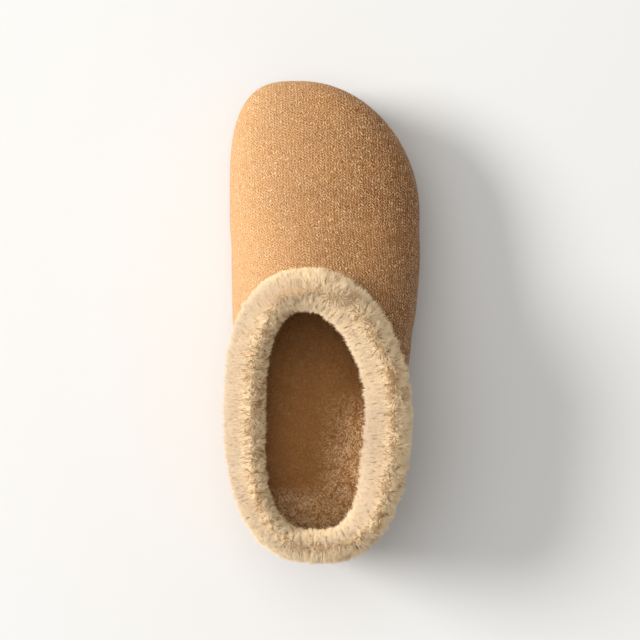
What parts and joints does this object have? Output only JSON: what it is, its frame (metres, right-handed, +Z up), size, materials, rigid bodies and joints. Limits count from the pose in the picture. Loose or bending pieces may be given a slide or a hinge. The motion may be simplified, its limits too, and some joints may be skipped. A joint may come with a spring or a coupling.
{
  "type": "clog slipper",
  "caption": "Closed clog slipper, right foot, with a seamless knitted upper, a deep fur collar round the low opening, a pile footbed and a moulded sole.",
  "frame": {"origin": "on the floor, under the middle of the whole shoe's box", "axes": "+Y from heel to toe, +Z up, +X to the outer side of the right foot"},
  "size_m": [0.1102, 0.2604, 0.0903],
  "materials": {
    "moulded_sole": "matt moulded rubber, camel",
    "knit": "fine knit with small slanting stitches, camel",
    "footbed_pile": "short dense pile, brown",
    "fur": "long soft fur in locks, pale beige with tan tips"
  },
  "bodies": {
    "root": {"sole": "moulded_sole", "upper": "knit", "insole": "footbed_pile", "fur_collar": "fur"}
  },
  "joints": []
}
